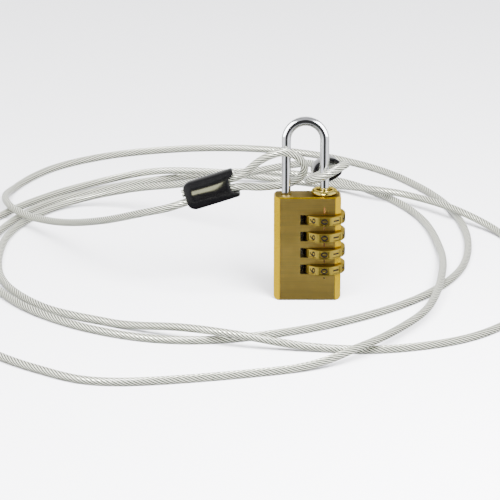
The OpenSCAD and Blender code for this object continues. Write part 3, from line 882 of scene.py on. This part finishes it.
class CABLE_LOCK_OT_cable(bpy.types.Operator):
    """Lays the cable along its whole route, from one cut end to the other"""

    bl_idname = "cable_lock.cable"
    bl_label = "Cable"

    def execute(self, context):
        s = context.scene.cable_settings
        line, length = cable_line(s.diameter / 2)
        curve = bpy.data.curves.new("coated_cable", "CURVE")
        curve.dimensions = "3D"
        spline = curve.splines.new("POLY")
        spline.points.add(len(line) - 1)
        spline.points.foreach_set("co", np.hstack([line, np.ones((len(line), 1))]).ravel())
        spline.use_smooth = True
        curve.bevel_depth = s.diameter / 2
        curve.bevel_resolution = CABLE_BEVEL
        curve.use_fill_caps = True
        cable = bpy.data.objects.new("coated_cable", curve)
        context.scene.collection.objects.link(cable)
        curve.materials.append(coated_rope(s, length))
        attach(cable, "root")
        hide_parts("cable", "eye_left", "eye_right")
        light_by("lit_from_over", cable)
        return {"FINISHED"}


class CABLE_LOCK_OT_body(bpy.types.Operator):
    """Dresses the body, its collar and the shackle"""

    bl_idname = "cable_lock.body"
    bl_label = "Body and shackle"

    def execute(self, context):
        s = context.scene.padlock_settings
        brushed = brushed_brass(s)
        dress("body", brushed)
        dress("bottom_plug", brushed)
        collar = dress("heel_collar", polished_brass("polished_brass", s.polish_colour, 0.14, 0.24))
        light_by("lit_from_front", collar)
        # Chromed steel, polished: mirror bright with a few soft 2 mm marks.
        shackle = dress("shackle", metal("chromed_steel", s.steel_colour, 0.05, 0.12, 2.0))
        light_by("lit_from_sides", shackle)
        return {"FINISHED"}


class CABLE_LOCK_OT_works(bpy.types.Operator):
    """Dresses the hubs, springs and other inner pieces"""

    bl_idname = "cable_lock.works"
    bl_label = "Works"

    def execute(self, context):
        # Turned steel: satin, grain about 0.2 mm.
        turned = metal("turned_steel", "#b4b6ba", 0.25, 0.45, 0.2)
        # Spring steel, rolled and tempered: dark blue-grey, smooth, grain about 0.4 mm.
        spring = metal("tempered_spring_steel", "#5d6068", 0.14, 0.30, 0.4)
        # Spring steel, tempered blue and oiled: dark brown, made darker still as painted shade for the recess
        # it sits in, with a small sharp glint.
        blued_and_recess_shaded = metal("blued_spring_steel", "#50483e", 0.14, 0.24, 0.4)
        for i in range(1, DIALS + 1):
            dress(f"hub_{i}", turned)
        dress("thrust_washer", turned)
        for node in ("retaining_ring", "lift_spring", "hub_spring"):
            dress(node, spring)
        dress("click_plate", blued_and_recess_shaded)
        return {"FINISHED"}


class CABLE_LOCK_OT_dials(bpy.types.Operator):
    """Dresses the dials and fills in their digits"""

    bl_idname = "cable_lock.dials"
    bl_label = "Dials"

    def execute(self, context):
        s = context.scene.padlock_settings
        brass = polished_brass("tumbled_brass", s.dial_colour, 0.32, 0.42)
        black = enamel("black_enamel", "#140d06")
        for i in range(1, DIALS + 1):
            dress(f"dial_{i}", brass)
            numbers = self.numbers(i, s, black)
            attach(numbers, f"dial_body_{i}")
        return {"FINISHED"}

    def numbers(self, i, s, material):
        """The digits of one dial, each lying on its side on its panel, with its head towards the next one."""
        low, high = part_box(f"dial_{i}")
        middle = (low + high) / 2
        points, faces = [], []
        for k in range(DIGITS):
            shape, triangles = digit_mesh(str(k), s.digit_height, s.digit_width)
            turn = math.radians(360 * k / DIGITS - 90)
            out = Vector((math.cos(turn), math.sin(turn), 0))
            tangent = Vector((-math.sin(turn), math.cos(turn), 0))
            first = len(points)
            for x, y, _ in shape:
                points.append(middle + out * (PANEL_RADIUS + DIGIT_LIFT) + tangent * y - Vector((0, 0, x)))
            faces += [tuple(first + v for v in t) for t in triangles]
        return mesh_object(f"dial_{i}_digits", points, faces, material, False)


class CABLE_LOCK_OT_marks(bpy.types.Operator):
    """Paints the index marks that the code is read against"""

    bl_idname = "cable_lock.marks"
    bl_label = "Index marks"

    def execute(self, context):
        s = context.scene.padlock_settings
        red = enamel("red_enamel", "#5e3c16")
        dials = [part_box(f"dial_{i}") for i in range(1, DIALS + 1)]
        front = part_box("body")[0].y - MARK_LIFT
        middle = (dials[0][0].x + dials[0][1].x) / 2
        tops = [high.z for low, high in dials]
        feet = [low.z for low, high in dials]
        spans = [(tops[0] + TOP_MARK[0], tops[0] + TOP_MARK[1])]
        spans += [(tops[i + 1] + MARK_GAP, feet[i] - MARK_GAP) for i in range(DIALS - 1)]
        for n, (low, high) in enumerate(spans):
            mark = self.stroke(f"index_mark_{n + 1}", middle, front, low, high, s.mark_width, red)
            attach(mark, "root")
        black = bpy.data.materials["black_enamel"]
        low, high = (feet[-1] + end for end in DOT)
        dot = self.stroke("index_dot", middle, front, low, high, DOT_WIDTH, black)
        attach(dot, "root")
        return {"FINISHED"}

    def stroke(self, name, x, y, low, high, width, material):
        """A painted stroke with round ends, just proud of the front and never shorter than it is wide."""
        r = width / 2
        low, high = min(low, high - width), max(high, low + width)
        outline = []
        for centre, start in ((high - r, 0), (low + r, math.pi)):
            for step in range(MARK_STEPS + 1):
                a = start + math.pi * step / MARK_STEPS
                outline.append((x + r * math.cos(a), centre + r * math.sin(a)))
        count = len(outline)
        points = [(a, y, b) for a, b in outline] + [(a, y + MARK_DEPTH, b) for a, b in outline]
        faces = [tuple(range(count))]
        faces += [(j, (j + 1) % count, count + (j + 1) % count, count + j) for j in range(count)]
        return mesh_object(name, points, faces, material, False)


class CABLE_LOCK_PT_panel(bpy.types.Panel):
    """Lists the pieces of the cable lock and their settings"""

    bl_idname = "CABLE_LOCK_PT_panel"
    bl_label = "Cable Lock"
    bl_space_type = "VIEW_3D"
    bl_region_type = "UI"
    bl_category = "Cable Lock"

    def draw(self, context):
        for group in GROUPS:
            box = self.layout.box()
            settings = getattr(context.scene, group)
            for name in settings.__annotations__:
                box.prop(settings, name)
        for operator in OPERATORS:
            self.layout.operator(operator.bl_idname)


GROUPS = {
    "stage_settings": StageSettings,
    "cable_settings": CableSettings,
    "sleeve_settings": SleeveSettings,
    "padlock_settings": PadlockSettings,
}
OPERATORS = [
    CABLE_LOCK_OT_stage,
    CABLE_LOCK_OT_sleeves,
    CABLE_LOCK_OT_cable,
    CABLE_LOCK_OT_body,
    CABLE_LOCK_OT_works,
    CABLE_LOCK_OT_dials,
    CABLE_LOCK_OT_marks,
]


def register():
    for name, group in GROUPS.items():
        bpy.utils.register_class(group)
        setattr(bpy.types.Scene, name, bpy.props.PointerProperty(type=group))
    for cls in OPERATORS + [CABLE_LOCK_PT_panel]:
        bpy.utils.register_class(cls)


def unregister():
    for cls in [CABLE_LOCK_PT_panel] + OPERATORS[::-1]:
        bpy.utils.unregister_class(cls)
    for name, group in GROUPS.items():
        delattr(bpy.types.Scene, name)
        bpy.utils.unregister_class(group)


def main():
    register()
    bpy.ops.cable_lock.stage()
    bpy.ops.cable_lock.sleeves()
    bpy.ops.cable_lock.cable()
    bpy.ops.cable_lock.body()
    bpy.ops.cable_lock.works()
    bpy.ops.cable_lock.dials()
    bpy.ops.cable_lock.marks()


if __name__ == "__main__":
    main()
